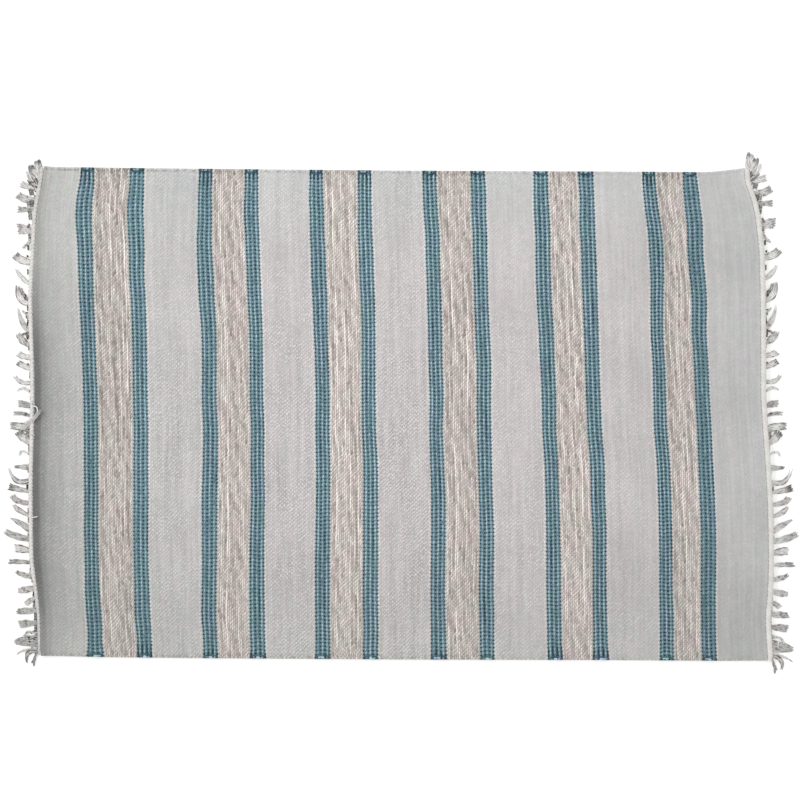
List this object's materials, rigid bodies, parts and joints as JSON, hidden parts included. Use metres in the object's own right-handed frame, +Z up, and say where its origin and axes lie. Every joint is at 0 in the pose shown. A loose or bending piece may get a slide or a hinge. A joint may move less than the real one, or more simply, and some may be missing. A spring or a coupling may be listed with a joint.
{
  "type": "kilim rug",
  "caption": "Small flat-woven rug with pairs of speckled teal bands on a pale grey ground, pale twined end cords and short warp tassels along both ends.",
  "frame": {"origin": "on the floor under the middle of the rug, fringes included", "axes": "+X along the rug's length, across the stripes, +Y across its width, along the stripes, +Z up from the floor"},
  "size_m": [0.9703, 0.6243, 0.0109],
  "materials": {
    "woven_cotton": "matt weft-faced cotton weave, pale grey ground with teal and beige stripes",
    "warp_yarn": "matt off-white twisted cotton yarn"
  },
  "bodies": {
    "root": {"woven_cloth": "woven_cotton", "fringe_left": "warp_yarn", "fringe_right": "warp_yarn"}
  },
  "joints": []
}
